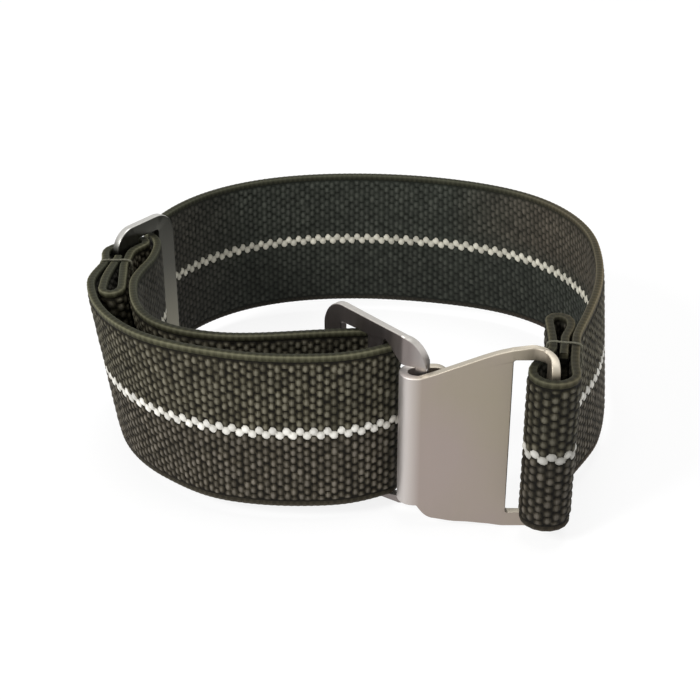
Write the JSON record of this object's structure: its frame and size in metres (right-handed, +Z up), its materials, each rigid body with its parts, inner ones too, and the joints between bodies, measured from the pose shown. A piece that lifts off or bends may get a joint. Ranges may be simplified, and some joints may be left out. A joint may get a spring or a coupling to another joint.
{
  "type": "watch strap",
  "caption": "Woven nylon watch strap closed into a wrist loop by a folded steel hook plate, a slotted receiver plate and a sliding length keeper.",
  "frame": {"origin": "under the middle of the strap's box, on the surface that the steel plates' lower edges stand on", "axes": "+X from the slider to the right side of the wrist loop, +Y from the hook to the back of the loop where the watch head goes, +Z up along the width of the webbing"},
  "size_m": [0.0652, 0.0628, 0.0244],
  "materials": {
    "outer_webbing": "woven nylon, olive grey, matt",
    "inner_webbing": "woven nylon, dark grey green, matt",
    "thread": "twisted polyester sewing thread",
    "brushed_plate": "brushed across its length, warm grey",
    "dark_plate": "satin, darker than the hook"
  },
  "bodies": {
    "band": {"band_back": "inner_webbing", "band_outer_front": "outer_webbing", "band_inner_front": "inner_webbing", "band_right": "outer_webbing", "band_outer_left": "outer_webbing", "band_inner_left": "inner_webbing"},
    "hook_end": {"hook_end_loop": "outer_webbing", "hook_end_stitching": "thread"},
    "hook": {"hook_plate": "brushed_plate"},
    "receiver": {"receiver_plate": "dark_plate"},
    "slider_end": {"slider_end_loop": "outer_webbing", "slider_end_stitching": "thread"},
    "slider": {"slider_frame": "dark_plate"}
  },
  "joints": [
    {"name": "strap_end_swing", "type": "hinge", "parent": "band", "child": "hook_end", "pos_m": [-0.01653, -0.01332, 0.0122], "axis": [0, 0, 1], "range_deg": [-4, 4], "stiffness_Nm_per_rad": 0.01, "deforming": ["band_right"]},
    {"name": "hook_turn", "type": "hinge", "parent": "hook_end", "child": "hook", "pos_m": [0.02206, -0.02832, 0.0122], "axis": [0, 0, 1], "range_deg": [-4, 4]},
    {"name": "receiver_swing", "type": "hinge", "parent": "band", "child": "receiver", "pos_m": [0.00277, -0.02082, 0.0122], "axis": [0, 0, 1], "range_deg": [-8, 8]},
    {"name": "slider_slide", "type": "slide", "parent": "band", "child": "slider_end", "axis": [0, 1, 0], "range_m": [-0.003, 0.004], "deforming": ["band_outer_left", "band_inner_left"]},
    {"name": "slider_tilt", "type": "hinge", "parent": "slider_end", "child": "slider", "pos_m": [-0.02963, 0.00496, 0.0122], "axis": [0, 0, 1], "range_deg": [-2.5, 2.5]}
  ],
  "couplings": [
    {"joint": "hook_turn", "follows": "strap_end_swing", "ratio": 1},
    {"joint": "receiver_swing", "follows": "strap_end_swing", "ratio": 2}
  ]
}
